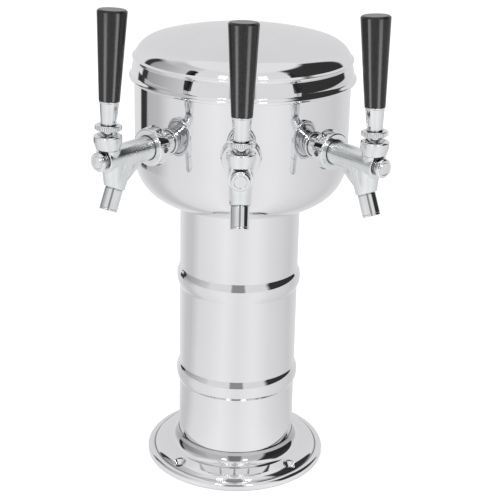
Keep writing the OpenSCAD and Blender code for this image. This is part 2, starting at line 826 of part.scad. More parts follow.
// A knurled lock ring between the lever and the handle
module lever_collar(side) {
    outline = [
        [post_r + fit, collar_low], [collar_d / 2 - collar_edge, collar_low],
        [collar_d / 2, collar_low + collar_edge], [collar_d / 2, collar_top - collar_edge],
        [collar_d / 2 - collar_edge, collar_top], [post_r + fit, collar_top]
    ];
    color("silver") at_lever(side) turned(outline);
}

// A flared metal sleeve with a stud for the grip
module handle_ferrule(side) {
    outline = [
        [post_r + fit, collar_top], [ferrule_foot_r, collar_top],
        [grip_foot_r - ferrule_roll, ferrule_top - 2 * ferrule_roll],
        [grip_foot_r, ferrule_top - ferrule_roll], [grip_foot_r, ferrule_top],
        [stud_r, ferrule_top], [stud_r, ferrule_top + stud_l], [0, ferrule_top + stud_l],
        [0, post_end + play], [post_r + fit, post_end + play]
    ];
    color("gainsboro") at_lever(side) turned(outline);
}

// A tapered black grip, widest at its head
module handle_grip(side) {
    outline = [
        [stud_r + fit, ferrule_top], [grip_foot_r - grip_foot_bevel, ferrule_top],
        [grip_foot_r, ferrule_top + grip_foot_bevel], [grip_head_r, grip_top - grip_bevel],
        [grip_head_r - grip_bevel, grip_top], [0, grip_top],
        [0, ferrule_top + stud_l + play], [stud_r + fit, ferrule_top + stud_l + play]
    ];
    color("black") at_lever(side) turned(outline);
}

// A round run inwards, round one bend and down, lengthened by extra at both ends
module line_run(r, extra) {
    bend_z = shank_z - line_bend_r;
    rod_x(bend_x, line_x + extra, r);
    translate([bend_x, 0, bend_z]) rotate([90, 0, 0]) rotate([0, 0, 90])
        rotate_extrude(angle = 90) translate([line_bend_r, 0]) circle(r = r);
    translate([drop_x, 0, line_end_z - extra]) cylinder(h = bend_z - line_end_z + extra, r = r);
}

// A hose from the tailpiece's barb down inside the column to its coupler's barb
module beer_line(side) {
    color("lightsteelblue") at_faucet(side) difference() {
        line_run(line_r, 0);
        line_run(line_bore_d / 2, over);
        rod_x(line_x - barb_l - play, line_x + over, barb_d / 2 + fit);
        translate([drop_x, 0, line_end_z - over]) cylinder(h = barb_l + play + over, r = barb_d / 2 + fit);
    }
}

base_flange();
base_gasket();
column_tube();
column_insulation();
column_collar();
clamp_screws();
drum_bowl();
lid();
wall_flanges();
saddle_washers();
shank_lock_nuts();
coupling_washers();
ball_washers();
tailpieces();
tail_washers();
tailpiece_nuts();
hose_clamps();
line_couplers();
shank(-1);  // shank_left
shank(0);  // shank_centre
shank(1);  // shank_right
coupling_nut(-1);  // coupling_nut_left
coupling_nut(0);  // coupling_nut_centre
coupling_nut(1);  // coupling_nut_right
faucet_body(-1);  // faucet_body_left
faucet_body(0);  // faucet_body_centre
faucet_body(1);  // faucet_body_right
spout(-1);  // spout_left
spout(0);  // spout_centre
spout(1);  // spout_right
bonnet(-1);  // bonnet_left
bonnet(0);  // bonnet_centre
bonnet(1);  // bonnet_right
front_cap(-1);  // front_cap_left
front_cap(0);  // front_cap_centre
front_cap(1);  // front_cap_right
shaft(-1);  // shaft_left
shaft(0);  // shaft_centre
shaft(1);  // shaft_right
seat_washer(-1);  // seat_washer_left
seat_washer(0);  // seat_washer_centre
seat_washer(1);  // seat_washer_right
shaft_nut(-1);  // shaft_nut_left
shaft_nut(0);  // shaft_nut_centre
shaft_nut(1);  // shaft_nut_right
lever(-1);  // lever_left
lever(0);  // lever_centre
lever(1);  // lever_right
lever_collar(-1);  // lever_collar_left
lever_collar(0);  // lever_collar_centre
lever_collar(1);  // lever_collar_right
handle_ferrule(-1);  // handle_ferrule_left
handle_ferrule(0);  // handle_ferrule_centre
handle_ferrule(1);  // handle_ferrule_right
handle_grip(-1);  // handle_grip_left
handle_grip(0);  // handle_grip_centre
handle_grip(1);  // handle_grip_right
beer_line(-1);  // beer_line_left
beer_line(0);  // beer_line_centre
beer_line(1);  // beer_line_right
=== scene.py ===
"""A three-faucet draft beer tower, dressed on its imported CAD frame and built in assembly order."""

import math

import bmesh
import bpy
from mathutils import Matrix, Vector


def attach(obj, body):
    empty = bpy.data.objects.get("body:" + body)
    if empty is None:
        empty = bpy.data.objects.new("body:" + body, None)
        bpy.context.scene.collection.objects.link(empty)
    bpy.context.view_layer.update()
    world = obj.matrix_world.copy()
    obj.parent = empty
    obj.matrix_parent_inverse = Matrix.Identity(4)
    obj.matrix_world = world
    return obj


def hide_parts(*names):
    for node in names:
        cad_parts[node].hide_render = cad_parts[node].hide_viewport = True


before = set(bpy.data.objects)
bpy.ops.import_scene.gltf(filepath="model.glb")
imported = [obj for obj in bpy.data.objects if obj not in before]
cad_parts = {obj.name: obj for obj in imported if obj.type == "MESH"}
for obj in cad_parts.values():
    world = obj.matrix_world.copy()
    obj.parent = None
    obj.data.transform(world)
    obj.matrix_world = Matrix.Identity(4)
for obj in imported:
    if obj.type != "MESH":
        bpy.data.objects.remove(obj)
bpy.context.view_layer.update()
scene = bpy.context.scene


# The studio: a pale floor under a white backdrop, two soft boxes in front and one overhead.
# Polished metal also mirrors a black flag on the right, a grey wall on the left and the gap
# between the soft boxes where the camera stands, so the room is drawn for reflected rays alone.
camera_place = Vector((0.0, -1.0520, 0.6016))
camera_yaw, camera_pitch, camera_roll = (math.radians(a) for a in (0.51, 21.27, 1.42))
ahead = Vector((math.sin(camera_yaw) * math.cos(camera_pitch),
                math.cos(camera_yaw) * math.cos(camera_pitch), -math.sin(camera_pitch)))
right = Vector((math.cos(camera_yaw), -math.sin(camera_yaw), 0.0))
up = right.cross(ahead)
rolled_right = right * math.cos(camera_roll) + up * math.sin(camera_roll)
rolled_up = up * math.cos(camera_roll) - right * math.sin(camera_roll)
turn = Matrix((rolled_right, rolled_up, -ahead)).transposed().to_4x4()
camera = bpy.data.objects.new("camera", bpy.data.cameras.new("camera"))
camera.data.sensor_width = 36.0
camera.data.lens = 94.34
camera.matrix_world = Matrix.Translation(camera_place) @ turn
scene.collection.objects.link(camera)
scene.camera = camera
scene.view_settings.view_transform = "Standard"


def soft_box(name, place, aim, width, height, strength, mirrored):
    """A rectangular lamp that faces its aim and shows in the metal only if it is mirrored."""
    light = bpy.data.lights.new(name, "AREA")
    light.shape = "RECTANGLE"
    light.size, light.size_y, light.energy = width, height, strength
    lamp = bpy.data.objects.new(name, light)
    lamp.location = place
    lamp.rotation_euler = (Vector(aim) - Vector(place)).to_track_quat("-Z", "Y").to_euler()
    lamp.visible_glossy = mirrored
    scene.collection.objects.link(lamp)
    return lamp


soft_box("soft_box_left", (-0.80, -1.55, 1.75), (0, 0, 0.25), 0.42, 0.60, 9, False)
soft_box("soft_box_right", (0.80, -1.55, 1.75), (0, 0, 0.25), 0.42, 0.60, 9, False)
soft_box("soft_box_top", (0.0, 0.35, 2.2), (0, 0, 0.3), 1.6, 1.6, 12, False)
soft_box("tube_left", (-0.52, -1.35, 1.15), (0, 0, 0.20), 0.20, 0.26, 1.6, True)
soft_box("tube_right", (0.52, -1.35, 1.15), (0, 0, 0.20), 0.20, 0.26, 1.6, True)


def graded(nodes, links, value, span, ends=(0, 1), smooth=False):
    """The value's place in the span, given as 0 to 1 or between two other ends."""
    made = nodes.new("ShaderNodeMapRange")
    if smooth:
        made.interpolation_type = "SMOOTHSTEP"
    made.inputs["From Min"].default_value, made.inputs["From Max"].default_value = span
    made.inputs["To Min"].default_value, made.inputs["To Max"].default_value = ends
    links.new(value, made.inputs["Value"])
    return made.outputs["Result"]


def bearing(nodes, links, direction):
    """A direction's share of a turn (back, left, front at 0.5, right, back) and its height."""
    split = nodes.new("ShaderNodeSeparateXYZ")
    links.new(direction, split.inputs[0])
    front = nodes.new("ShaderNodeMath")
    front.operation = "MULTIPLY"
    front.inputs[1].default_value = -1
    links.new(split.outputs["Y"], front.inputs[0])
    angle = nodes.new("ShaderNodeMath")
    angle.operation = "ARCTAN2"
    links.new(split.outputs["X"], angle.inputs[0])
    links.new(front.outputs[0], angle.inputs[1])
    return graded(nodes, links, angle.outputs[0], (-math.pi, math.pi)), split.outputs["Z"]


def greys(nodes, links, share, stops):
    """Greys that change with the bearing; each stop is degrees from the front and a brightness."""
    made = nodes.new("ShaderNodeValToRGB")
    while len(made.color_ramp.elements) < len(stops):
        made.color_ramp.elements.new(0.5)
    for stop, (angle, value) in zip(made.color_ramp.elements, stops):
        stop.position = 0.5 + angle / 360
        stop.color = (value, value, value * 1.01, 1)
    links.new(share, made.inputs[0])
    return made.outputs["Color"]


def blended(nodes, links, share, near, far):
    """One colour passing into another; the far one may be a plain colour or a node's output."""
    made = nodes.new("ShaderNodeMix")
    made.data_type = "RGBA"
    links.new(share, made.inputs["Factor"])
    links.new(near, made.inputs["A"])
    if isinstance(far, tuple):
        made.inputs["B"].default_value = far
    else:
        links.new(far, made.inputs["B"])
    return made.outputs["Result"]


def for_rays(nodes, links, kind, usual, special):
    """The special shader for rays of one kind and the usual one for all others."""
    rays = nodes.new("ShaderNodeLightPath")
    made = nodes.new("ShaderNodeMixShader")
    links.new(rays.outputs[kind], made.inputs[0])
    links.new(usual, made.inputs[1])
    links.new(special, made.inputs[2])
    return made.outputs[0]


left_wall = [(-125, 0.80), (-123, 0.04), (-114, 0.04), (-112, 0.36), (-95, 0.43), (-60, 0.66)]
front_and_right = [(-52, 0.80), (-14, 0.80), (-11, 0.30), (11, 0.30), (14, 0.80), (52, 0.78),
                   (60, 0.035), (126, 0.035), (129, 0.78), (180, 0.74)]
high_left_wall = [(-125, 0.80), (-112, 0.62), (-95, 0.56), (-60, 0.66)]
near_left = [(-180, 0.80), (-140, 0.80), (-115, 0.64), (-98, 0.62)]
far_left = [(-180, 0.80), (-132, 0.80), (-130, 0.04), (-117, 0.04), (-115, 0.50), (-95, 0.55)]
floor_front = [(-78, 0.80), (-50, 0.86), (-25, 0.95), (0, 0.86), (25, 0.93), (35, 0.92),
               (61, 0.80), (91, 0.72), (111, 0.66), (134, 0.74), (180, 0.80)]
ceiling, paper = (0.86, 0.86, 0.87, 1), (0.80, 0.80, 0.81, 1)
strip_top, room_top, room_foot = 38, 57, -5
world = bpy.data.worlds.new("studio")
world.use_nodes = True
scene.world = world
nodes, links = world.node_tree.nodes, world.node_tree.links
nodes.clear()
way = nodes.new("ShaderNodeTexCoord")
share, height = bearing(nodes, links, way.outputs["Generated"])
back_wall = (-180, 0.74)
room = greys(nodes, links, share, [back_wall] + left_wall + front_and_right)
high_walls = greys(nodes, links, share, [back_wall] + high_left_wall + front_and_right)
for level, soft, colour in ((strip_top, 6, high_walls), (room_top, 3, ceiling),
                            (room_foot, -1, paper)):
    span = [math.sin(math.radians(angle)) for angle in (level - soft, level + soft)]
    room = blended(nodes, links, graded(nodes, links, height, span, smooth=True), room, colour)
plain, mirrored, white = (nodes.new("ShaderNodeBackground") for _ in range(3))
plain.inputs["Color"].default_value = (1, 1, 1, 1)
plain.inputs["Strength"].default_value = 0.85
links.new(room, mirrored.inputs["Color"])
white.inputs["Color"].default_value = (1, 1, 1, 1)
unseen = for_rays(nodes, links, "Is Glossy Ray", plain.outputs[0], mirrored.outputs[0])
backdrop = for_rays(nodes, links, "Is Camera Ray", unseen, white.outputs[0])
links.new(backdrop, nodes.new("ShaderNodeOutputWorld").inputs["Surface"])

floor_size, paper_end = 9.0, (0.89, 0.92)
floor_mesh = bpy.data.meshes.new("floor")
half = floor_size / 2
floor_mesh.from_pydata([(-half, -half, 0), (half, -half, 0), (half, half, 0), (-half, half, 0)],
                       [], [(0, 1, 2, 3)])
floor = bpy.data.objects.new("floor", floor_mesh)
scene.collection.objects.link(floor)
floor_paper = bpy.data.materials.new("floor_paper")
floor_paper.use_nodes = True
nodes, links = floor_paper.node_tree.nodes, floor_paper.node_tree.links
paper_face = nodes["Principled BSDF"]
paper_face.inputs["Base Color"].default_value = (0.93, 0.93, 0.935, 1)
paper_face.inputs["Roughness"].default_value = 0.9
paper_face.inputs["Specular IOR Level"].default_value = 0.1
rays = nodes.new("ShaderNodeLightPath")
links.new(rays.outputs["Is Camera Ray"], paper_face.inputs["Emission Strength"])
paper_face.inputs["Emission Color"].default_value = (0.17, 0.17, 0.17, 1)
# For reflected rays the floor is only a glow of painted greys by bearing and distance that stand in
# for how it is lit: brighter in front, darker to the right, with a black strip further out to the
# left and behind.
where = nodes.new("ShaderNodeTexCoord")
share, height = bearing(nodes, links, where.outputs["Object"])
away = nodes.new("ShaderNodeVectorMath")
away.operation = "LENGTH"
links.new(where.outputs["Object"], away.inputs[0])
floor_greys = blended(nodes, links, graded(nodes, links, away.outputs["Value"], paper_end),
                      greys(nodes, links, share, near_left + floor_front),
                      greys(nodes, links, share, far_left + floor_front))
glow = nodes.new("ShaderNodeEmission")
links.new(floor_greys, glow.inputs["Color"])
surface = for_rays(nodes, links, "Is Glossy Ray", paper_face.outputs[0], glow.outputs[0])
links.new(surface, nodes["Material Output"].inputs["Surface"])
floor_mesh.materials.append(floor_paper)


# The base flange: stainless steel, turned on a lathe and mirror polished, with a thin neck that
# the column stands in, a hollow curve, a shoulder, a beaded rim and four countersunk holes. The
# neck and the top of the hollow curve get a painted shade that darkens their reflection. Its
# outline, like every outline below, is in millimetres.
MM = 0.001


def arc(centre, radius, start, end, steps=12):
    """Points along an arc, from one angle to another in degrees."""
    return [(centre[0] + radius * math.cos(math.radians(start + (end - start) * i / steps)),
             centre[1] + radius * math.sin(math.radians(start + (end - start) * i / steps)))
            for i in range(steps + 1)]


def eased(corners, steps=5):
    """An outline whose corners (r, z, rounding) are rounded off."""
    points = []
    for i, corner in enumerate(corners):
        here = Vector(corner[:2])
        rounding = corner[2] if len(corner) > 2 else 0
        if not rounding:
            points.append(tuple(here))
            continue
        back = Vector(corners[i - 1][:2]) - here
        on = Vector(corners[(i + 1) % len(corners)][:2]) - here
        angle = back.angle(on)
        reach = min(rounding / math.tan(angle / 2), 0.49 * back.length, 0.49 * on.length)
        radius = reach * math.tan(angle / 2)
        inwards = (back.normalized() + on.normalized()).normalized()
        middle = here + inwards * radius / math.sin(angle / 2)
        first = here + back.normalized() * reach - middle
        last = here + on.normalized() * reach - middle
        turn_by = first.angle_signed(last)
        for k in range(steps + 1):
            spoke = first.copy()
            spoke.rotate(Matrix.Rotation(-turn_by * k / steps, 2))
            points.append(tuple(middle + spoke))
    return points


def shaded(mesh, crease=32):
    """The mesh shaded smooth, but for edges sharper than the crease in degrees."""
    mesh.shade_smooth()
    mesh.set_sharp_from_angle(angle=math.radians(crease))
    return mesh


def held(outline, reach=0.35, longer=1.6):
    """The outline with a point just inside both ends of each long stretch, to shade it straight."""
    points = []
    for here, on in zip(outline, outline[1:] + outline[:1]):
        here, on = Vector(here[:2]), Vector(on[:2])
        points.append(tuple(here))
        length = (on - here).length
        if length > longer:
            points += [tuple(here.lerp(on, reach / length)), tuple(on.lerp(here, reach / length))]
    return points


def turned(name, outline, places=(Matrix(),), steps=160, crease=32):
    """A closed outline (r, z), turned round Z and set down at each place."""
    bm = bmesh.new()
    outline = held(outline)
    angles = [math.tau * k / steps for k in range(steps)]
    around = [(math.cos(angle), math.sin(angle)) for angle in angles]
    for place in places:
        rings = []
        for r, z in outline:
            if r < 1e-6:
                rings.append([bm.verts.new(place @ Vector((0, 0, z)) * MM)])
            else:
                rings.append([bm.verts.new(place @ Vector((r * x, r * y, z)) * MM)
                              for x, y in around])
        for a, b in zip(rings, rings[1:] + rings[:1]):
            for k in range(steps):
                corners = [a[k % len(a)], a[(k + 1) % len(a)], b[(k + 1) % len(b)], b[k % len(b)]]
                corners = list(dict.fromkeys(corners))
                if len(corners) > 2:
                    bm.faces.new(corners)
    bmesh.ops.recalc_face_normals(bm, faces=bm.faces)
    mesh = bpy.data.meshes.new(name)
    bm.to_mesh(mesh)
    bm.free()
    piece = bpy.data.objects.new(name, shaded(mesh, crease))
    scene.collection.objects.link(piece)
    return piece


def plain_mesh(piece):
    """Bakes the piece's modifiers into its mesh, removes them and the old mesh."""
    old = piece.data
    seen = piece.evaluated_get(bpy.context.evaluated_depsgraph_get())
    piece.data = bpy.data.meshes.new_from_object(seen)
    piece.modifiers.clear()
    bpy.data.meshes.remove(old)


def cut(piece, tool, crease=32):
    """Cuts the piece with the tool and throws the tool away."""
    knife = piece.modifiers.new("cut", "BOOLEAN")
    knife.operation, knife.solver, knife.object = "DIFFERENCE", "EXACT", tool
    plain_mesh(piece)
    shaded(piece.data, crease)
    bpy.data.objects.remove(tool)


def drill(radius, start, end, places, steps=32):
    """A round cutter along the axis of each place."""
    return turned("drill", [(0, start), (radius, start), (radius, end), (0, end)], places, steps)


def fit(piece, material, body, node):
    """Gives a piece its finish, the body that it moves with and the CAD node that it stands for."""
    piece.name = piece.data.name = f"{node}_piece"
    piece.data.materials.clear()
    piece.data.materials.append(material)
    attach(piece, body)
    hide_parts(node)


def noise(nodes, links, where, scale, detail):
    """A cloudy pattern that is this fine, with this much smaller detail in it."""
    made = nodes.new("ShaderNodeTexNoise")
    made.inputs["Scale"].default_value, made.inputs["Detail"].default_value = scale, detail
    links.new(where, made.inputs["Vector"])
    return made.outputs["Fac"]


def toned(nodes, links, pattern, span, dark, light):
    """Two colours spread over a pattern, from dark to light within the span."""
    made = nodes.new("ShaderNodeValToRGB")
    low, high = made.color_ramp.elements
    low.position, high.position = span
    low.color, high.color = (*dark, 1), (*light, 1)
    links.new(pattern, made.inputs[0])
    return made.outputs["Color"]


def dimmed(nodes, links, colour, share):
    """The colour, as dark as the share says."""
    made = nodes.new("ShaderNodeVectorMath")
    made.operation = "SCALE"
    links.new(colour, made.inputs[0])
    links.new(share, made.inputs["Scale"])
    return made.outputs["Vector"]


def raise_skin(nodes, links, pattern, lift):
    """Bumps the surface by a pattern, as high as the lift in metres."""
    made = nodes.new("ShaderNodeBump")
    made.inputs["Strength"].default_value = 1.0
    made.inputs["Distance"].default_value = lift
    links.new(pattern, made.inputs["Height"])
    links.new(made.outputs["Normal"], nodes["Principled BSDF"].inputs["Normal"])


def metal(name, dull, bright, smoothest, roughest, cloud, grain, lift,
          stretch=(1, 1, 1), shade_reach=0.0015, darkest_shade=0.45):
    """A metal with soft clouds in its colour and gloss, painted shade in its hollows and gaps, and a
    fine raised grain.
    """
    made = bpy.data.materials.new(name)
    made.use_nodes = True
    nodes, links = made.node_tree.nodes, made.node_tree.links
    face = nodes["Principled BSDF"]
    face.inputs["Metallic"].default_value = 1.0
    where = nodes.new("ShaderNodeTexCoord")
    drawn_out = nodes.new("ShaderNodeMapping")
    drawn_out.inputs["Scale"].default_value = stretch
    links.new(where.outputs["Object"], drawn_out.inputs["Vector"])
    clouds = noise(nodes, links, where.outputs["Object"], cloud, 3)
    fine = noise(nodes, links, drawn_out.outputs["Vector"], grain, 2)
    # Painted shade: ambient occlusion darkens the base colour in hollows, grooves and gaps between
    # parts, down to the darkest share within the reach.
    open_air = nodes.new("ShaderNodeAmbientOcclusion")
    open_air.samples = 8
    open_air.inputs["Distance"].default_value = shade_reach
    shade = graded(nodes, links, open_air.outputs["AO"], (0.25, 0.85), (darkest_shade, 1))
    tone = toned(nodes, links, clouds, (0.35, 0.65), dull, bright)
    links.new(dimmed(nodes, links, tone, shade), face.inputs["Base Color"])
    both = nodes.new("ShaderNodeMath")
    both.operation = "MULTIPLY"
    links.new(clouds, both.inputs[0])
    links.new(fine, both.inputs[1])
    blur = graded(nodes, links, both.outputs[0], (0.1, 0.45), (smoothest, roughest))
    links.new(blur, face.inputs["Roughness"])
    raise_skin(nodes, links, fine, lift)
    return made


polished_steel = metal("polished_steel", (0.83, 0.83, 0.845), (0.87, 0.87, 0.88), 0.035, 0.075,
                       cloud=9, grain=60, lift=0.000004, stretch=(1, 1, 8), shade_reach=0.002,
                       darkest_shade=0.3)
flange_steel = metal("flange_steel", (0.82, 0.82, 0.835), (0.86, 0.86, 0.87), 0.035, 0.075,
                     cloud=9, grain=60, lift=0.000004, stretch=(1, 1, 8), shade_reach=0.002,
                     darkest_shade=0.3)
# Painted shade: inside this radius, which takes in the neck and the top of the hollow curve, the
# flange's colour is darkened to this tone so that its reflection there reads darker.
painted_ring_end, painted_ring_tone = (0.0535, 0.0555), 0.66
nodes, links = flange_steel.node_tree.nodes, flange_steel.node_tree.links
steel_colour = nodes["Principled BSDF"].inputs["Base Color"]
where = nodes.new("ShaderNodeTexCoord")
flat = nodes.new("ShaderNodeVectorMath")
flat.operation = "MULTIPLY"
flat.inputs[1].default_value = (1, 1, 0)
links.new(where.outputs["Object"], flat.inputs[0])
out = nodes.new("ShaderNodeVectorMath")
out.operation = "LENGTH"
links.new(flat.outputs["Vector"], out.inputs[0])
painted_ring_shade = graded(nodes, links, out.outputs["Value"], painted_ring_end, (painted_ring_tone, 1), smooth=True)
links.new(dimmed(nodes, links, steel_colour.links[0].from_socket, painted_ring_shade), steel_colour)

flange_bore, flange_edge, recess_out, gasket_thick = 46.0, 78.4, 73.07, 2.4
rim, rim_bend, shoulder, shoulder_bend = (75.2, 3.4), 3.2, (65.441, 2.203), 8.0
hollow, hollow_bend = (61.25, 21.5), 9.5
neck_in, neck_out, neck_top, ledge = 50.85, 51.75, 22.0, 5.0
screw_circle, screw_hole, sink_mouth, sink_top, sink_foot = 68.5, 2.75, 6.0, 9.618, 6.368
outline = ([(flange_bore, gasket_thick), (recess_out, gasket_thick), (recess_out, 0),
            (flange_edge - 0.5, 0), (flange_edge, 0.5)]
           + arc(rim, rim_bend, 0, 140, 18) + arc(shoulder, shoulder_bend, 24, 72, 14)
           + arc(hollow, hollow_bend, 270, 180, 20)
           + [(neck_out, neck_top - 0.3), (neck_out - 0.3, neck_top), (neck_in, neck_top),
              (neck_in, ledge), (flange_bore, ledge)])
base_flange = turned("base_flange", outline, steps=288)
quarters = [Matrix.Rotation(math.radians(45 + 90 * i), 4, "Z") for i in range(4)]
screw_places = [quarter @ Matrix.Translation((screw_circle, 0, 0)) for quarter in quarters]
cut(base_flange, turned("sinks", [(0, -2), (screw_hole, -2), (screw_hole, sink_foot),
                                  (sink_mouth, sink_top), (sink_mouth, 30), (0, 30)],
                        screw_places, steps=48))
fit(base_flange, flange_steel, "tower", "base_flange")


# The gasket: a flat ring of black rubber that lies in the flange's recess and seals it to the
# bar top. It is punched for the four screws.
def dull_stuff(name, dark, light, roughest, speck, lift):
    """Rubber, foam or moulded plastic: two near tones in fine specks and a slightly raised skin."""
    made = bpy.data.materials.new(name)
    made.use_nodes = True
    nodes, links = made.node_tree.nodes, made.node_tree.links
    face = nodes["Principled BSDF"]
    where = nodes.new("ShaderNodeTexCoord")
    specks = noise(nodes, links, where.outputs["Object"], speck, 4)
    tone = toned(nodes, links, specks, (0.4, 0.62), dark, light)
    links.new(tone, face.inputs["Base Color"])
    blur = graded(nodes, links, specks, (0, 1), (roughest * 0.8, roughest))
    links.new(blur, face.inputs["Roughness"])
    raise_skin(nodes, links, specks, lift)
    return made


gasket_out = 73.02
rubber = dull_stuff("rubber", (0.022, 0.022, 0.022), (0.045, 0.045, 0.045), 0.75, 400, 0.00004)
gasket = turned("base_gasket", [(flange_bore, 0), (gasket_out, 0), (gasket_out, gasket_thick),
                                (flange_bore, gasket_thick)], steps=144)
cut(gasket, drill(screw_hole, -2, 5, screw_places))
fit(gasket, rubber, "tower", "base_gasket")


# The column: a thin stainless tube on the flange's ledge, mirror polished, with two beads
# rolled outwards, and four holes near its top for the clamp screws.
column_out, column_wall, column_top = 50.8, 1.5, 255.0
low_bead, high_bead, bead_rise, bead_bend, bead_foot = 81, 171, 2.5, 16.5625, 5.0
clamp_high, clamp_hole = 248, 2.1


def bead(z, inset):
    """A bead's outline going up: a round back between hollow feet, inset for the tube's inside."""
    half_angle = math.degrees(math.acos((bead_bend - bead_rise + bead_foot)
                                        / (bead_bend + bead_foot)))
    reach = (bead_bend + bead_foot) * math.sin(math.radians(half_angle))
    foot_r, foot = column_out + bead_foot, bead_foot + inset
    back_r, back = column_out + bead_rise - bead_bend, bead_bend - inset
    return (arc((foot_r, z - reach), foot, 180, 180 - half_angle, 8)[:-1]
            + arc((back_r, z), back, -half_angle, half_angle, 20)
            + arc((foot_r, z + reach), foot, 180 + half_angle, 180, 8)[1:])


outline = ([(column_out - column_wall, ledge), (column_out, ledge)]
           + bead(low_bead, 0) + bead(high_bead, 0)
           + [(column_out, column_top), (column_out - column_wall, column_top)]
           + bead(high_bead, column_wall)[::-1] + bead(low_bead, column_wall)[::-1])
column = turned("column_tube", outline, steps=256, crease=20)
clamp_ways = [quarter @ Matrix.Translation((0, 0, clamp_high))
              @ Matrix.Rotation(math.pi / 2, 4, "Y") for quarter in quarters]
cut(column, drill(clamp_hole, 30, 70, clamp_ways), crease=20)
fit(column, polished_steel, "tower", "column_tube")


# Inside the column: a sleeve of dark foam that keeps the lines cold, and at the top a steel ring
# that backs the four clamp screws. Inner pieces keep their CAD shape, as copies with their doubled
# points merged and their round faces shaded round.
def from_cad(node, crease=32):
    """A copy of a CAD node's shape."""
    copy = bpy.data.objects.new(node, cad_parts[node].data.copy())
    scene.collection.objects.link(copy)
    bm = bmesh.new()
    bm.from_mesh(copy.data)
    bmesh.ops.remove_doubles(bm, verts=bm.verts, dist=0.000001)
    bm.to_mesh(copy.data)
    bm.free()
    shaded(copy.data, crease)
    return copy


foam = dull_stuff("foam", (0.05, 0.05, 0.055), (0.11, 0.11, 0.12), 0.9, 260, 0.00025)
plain_steel = metal("plain_steel", (0.50, 0.50, 0.51), (0.62, 0.62, 0.63), 0.18, 0.34,
                    cloud=40, grain=700, lift=0.00001, stretch=(1, 1, 6))
fit(from_cad("column_insulation"), foam, "tower", "column_insulation")
fit(from_cad("column_collar"), plain_steel, "tower", "column_collar")
fit(from_cad("clamp_screws"), plain_steel, "tower", "clamp_screws")


# The drum: spun from stainless sheet and mirror polished, with a round underside, a neck that
# slips over the column and is screwed to it, and three holes for the shanks.
SIDES = {"left": -40, "centre": 0, "right": 40}
shank_high, shank_r, shank_gap = 308.0, 8.7, 0.15
drum_out, drum_wall, drum_low, drum_rim = 88.8, 1.5, 241.0, 356.0
bowl, bowl_bend, drum_neck_out = (52.8, 277.0), 36.0, 52.35


def faucet_place(side):
    """Turns +X to point out of the drum on this side."""
    return Matrix.Rotation(math.radians(SIDES[side] - 90), 4, "Z")


def along_shank(side):
    """Lays an outline along this side's shank, its z the distance from the drum's axis."""
    return (faucet_place(side) @ Matrix.Translation((0, 0, shank_high))
            @ Matrix.Rotation(math.pi / 2, 4, "Y"))


outline = ([(neck_in, drum_low)] + arc(bowl, bowl_bend, -90, 0, 40)
           + [(drum_out, drum_rim - 0.4), (drum_out - 0.4, drum_rim),
              (drum_out - drum_wall, drum_rim)]
           + arc(bowl, bowl_bend - drum_wall, 0, -90, 40)
           + [(drum_neck_out, drum_low + drum_wall), (drum_neck_out, column_top),
              (neck_in, column_top)])
drum = turned("drum_bowl", outline, steps=320)
every_shank = [along_shank(side) for side in SIDES]
cut(drum, drill(shank_r + shank_gap, 80, 95, every_shank, steps=64))
cut(drum, drill(clamp_hole, 40, 58, clamp_ways))
fit(drum, polished_steel, "tower", "drum_bowl")


# The lid: spun stainless, mirror polished, with a rolled lip, a sloping tier, a ridge and a domed
# crown. It sits loose over the drum's rim and lifts straight off.
lip_low, tier_low, tier_top, ridge_in = 344.3, (91.1, 348.9), (88.95, 359.6), (88.3, 363.7)
tier_bulge, tier_steps = 0.3, 12
dome, dome_bend, crown_angle, lid_sheet = (71.9, 358.06), 17.3, 15, 1.2
skirt_in, step_in, lid_seat = 89.1, 86.8, 356.2
dome_start = 90 - crown_angle
lean = math.radians(crown_angle)
crown_bend = (dome[0] + dome_bend * math.sin(lean)) / math.sin(lean)
crown = (0, dome[1] + (dome_bend - crown_bend) * math.cos(lean))
dome_low = math.degrees(math.asin((ridge_in[1] - dome[1]) / dome_bend))
dome_end = math.degrees(math.acos((step_in - dome[0]) / (dome_bend - lid_sheet)))
lip = eased([(88, lip_low), (92.4, lip_low, 0.9), (93.3, 346.5, 1.2), (*tier_low, 1.4),
             tier_top])[1:-1]
tier = [(tier_low[0] + (tier_top[0] - tier_low[0]) * i / tier_steps
         + tier_bulge * math.sin(math.pi * i / tier_steps),
         tier_low[1] + (tier_top[1] - tier_low[1]) * i / tier_steps)
        for i in range(2, tier_steps)]
ridge = eased([tier_low, (*tier_top, 0.5), (90.1, 360.8, 0.5), (90.2, 362.3, 0.3), ridge_in])[1:-1]
outline = ([(skirt_in, lip_low)] + lip + tier + ridge
           + arc(dome, dome_bend, dome_low, dome_start, 24)
           + arc(crown, crown_bend, dome_start, 90, 50)[1:]
           + arc(crown, crown_bend - lid_sheet, 90, dome_start, 50)
           + arc(dome, dome_bend - lid_sheet, dome_start, dome_end, 20)[1:]
           + [(step_in, lid_seat), (skirt_in, lid_seat)])
fit(turned("lid", outline, steps=320), polished_steel, "lid", "lid")


# The wall flanges: turned brass rings, chrome plated, that slide over the shanks and cover the
# drum's holes. Their backs are cut to follow the drum.
wall_flange_in, wall_flange_out, wall_flange_front = shank_r + 0.05, 10.3, 90
bright_chrome = metal("bright_chrome", (0.80, 0.815, 0.82), (0.88, 0.89, 0.895), 0.02, 0.06,
                      cloud=45, grain=300, lift=0.000002, shade_reach=0.003, darkest_shade=0.15)
wall_flanges = turned("wall_flanges", eased([(wall_flange_in, 84), (wall_flange_out, 84),
                                             (wall_flange_out, wall_flange_front, 0.7),
                                             (wall_flange_in, wall_flange_front, 0.3)]),
                      every_shank, steps=96)
cut(wall_flanges, drill(drum_out + 0.05, 280, 340, [Matrix()], steps=320))
fit(wall_flanges, bright_chrome, "tower", "wall_flanges")


